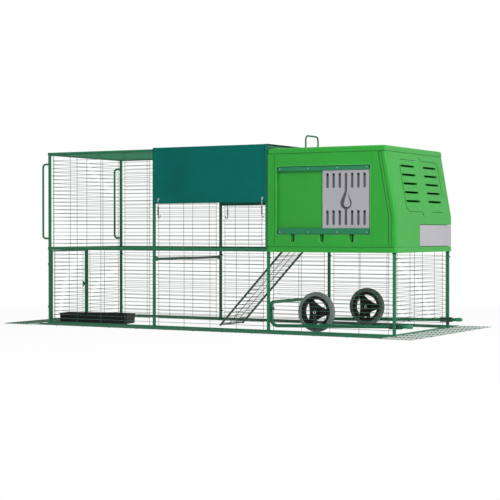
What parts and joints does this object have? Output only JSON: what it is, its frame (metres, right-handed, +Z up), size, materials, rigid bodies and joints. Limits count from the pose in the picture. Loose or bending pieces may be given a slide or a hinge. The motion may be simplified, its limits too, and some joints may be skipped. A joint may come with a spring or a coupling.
{
  "type": "chicken tractor",
  "caption": "Mobile hen house: a raised moulded coop with egg port, vented tail door and droppings tray on a wheeled tube frame, joined to a wire run with cover, ladder and trough.",
  "frame": {"origin": "on the ground at the middle of the footprint, skirts included", "axes": "+X from the run's end door towards the coop's tail, -Y the egg-port side, +Z up"},
  "size_m": [3.508, 1.495, 1.456],
  "materials": {
    "frame_paint": "semi-gloss powder coat",
    "mesh_coat": "satin green-grey coating",
    "dark_paint": "semi-gloss powder coat",
    "black_plastic": "matte moulded",
    "bracket_paint": "satin",
    "cover_fabric": "woven coated cloth",
    "bare_steel": "zinc plated",
    "elastic": "braided elastic",
    "tyre": "matte tread",
    "coop_plastic": "satin rotationally moulded",
    "rail_plastic": "satin moulded",
    "grey_plastic": "satin moulded",
    "roost_plastic": "matte moulded"
  },
  "bodies": {
    "frame": {"foot_blocks": "frame_paint", "frame_joints": "frame_paint", "run_posts": "frame_paint", "coop_legs": "frame_paint", "top_rails": "frame_paint", "mid_rails": "frame_paint", "ground_rails": "frame_paint", "front_mesh_lower": "mesh_coat", "back_mesh_lower": "mesh_coat", "front_mesh_upper": "mesh_coat", "back_mesh_upper": "mesh_coat", "end_mesh_upper": "mesh_coat", "end_mesh_lower": "mesh_coat", "tail_mesh": "mesh_coat", "roof_mesh": "mesh_coat", "ground_skirts": "mesh_coat", "grab_handles": "frame_paint", "panel_knobs": "dark_paint", "shade_cover": "cover_fabric", "cover_eyelets": "bare_steel", "bungee_cords": "elastic", "bungee_hooks": "black_plastic", "perch_bar": "dark_paint", "perch_brackets": "black_plastic", "feed_trough": "black_plastic", "ladder_pivot": "dark_paint", "wheel_hoop": "frame_paint", "wheel_tubes": "frame_paint", "frame_clamps": "dark_paint", "wheel_grips": "frame_paint", "axle_brackets": "bracket_paint", "axle_bolts": "bare_steel", "coop_base": "coop_plastic", "coop_shell": "coop_plastic", "coop_roof": "coop_plastic", "port_rails": "rail_plastic", "rail_screws": "grey_plastic", "tail_surround": "coop_plastic", "hinge_leaves": "dark_paint", "hinge_pins": "bare_steel", "pop_guides": "coop_plastic", "nest_box": "rail_plastic", "roost_bars": "roost_plastic", "roost_trestles": "roost_plastic"},
    "end_door": {"end_door_frame": "frame_paint", "end_door_mesh": "mesh_coat"},
    "end_door_latch": {"end_door_latch": "frame_paint"},
    "ladder": {"ladder_rails": "dark_paint", "ladder_rungs": "mesh_coat"},
    "near_wheel": {"near_tyre": "tyre", "near_hub": "black_plastic"},
    "far_wheel": {"far_tyre": "tyre", "far_hub": "black_plastic"},
    "port_door": {"port_door": "grey_plastic"},
    "tail_door": {"tail_door": "coop_plastic"},
    "droppings_tray": {"droppings_tray": "grey_plastic"},
    "pop_door": {"pop_door": "rail_plastic", "lift_handle": "frame_paint"}
  },
  "joints": [
    {"name": "end_door_hinge", "type": "hinge", "parent": "frame", "child": "end_door", "pos_m": [-1.5, -0.4935, 0.3], "axis": [0, 0, 1], "range_deg": [0, 110]},
    {"name": "end_door_latch_turn", "type": "hinge", "parent": "end_door", "child": "end_door_latch", "pos_m": [-1.5, -0.036, 0.3], "axis": [1, 0, 0], "range_deg": [0, 90]},
    {"name": "ladder_hinge", "type": "hinge", "parent": "frame", "child": "ladder", "pos_m": [0.49, 0, 0.634], "axis": [0, 1, 0], "range_deg": [0, 75]},
    {"name": "near_wheel_spin", "type": "hinge", "parent": "frame", "child": "near_wheel", "pos_m": [0.86, -0.4285, 0.15], "axis": [0, 1, 0], "continuous": true},
    {"name": "far_wheel_spin", "type": "hinge", "parent": "frame", "child": "far_wheel", "pos_m": [0.86, 0.4285, 0.15], "axis": [0, 1, 0], "continuous": true},
    {"name": "egg_port_slide", "type": "slide", "parent": "frame", "child": "port_door", "axis": [-1, 0, 0], "range_m": [0, 0.358]},
    {"name": "tail_door_hinge", "type": "hinge", "parent": "frame", "child": "tail_door", "pos_m": [1.44032, 0.5245, 1.005], "axis": [0, 0, 1], "range_deg": [0, 110]},
    {"name": "tray_slide", "type": "slide", "parent": "frame", "child": "droppings_tray", "axis": [1, 0, 0], "range_m": [0, 0.6]},
    {"name": "pop_door_lift", "type": "slide", "parent": "frame", "child": "pop_door", "axis": [0, 0, 1], "range_m": [0, 0.26]}
  ]
}
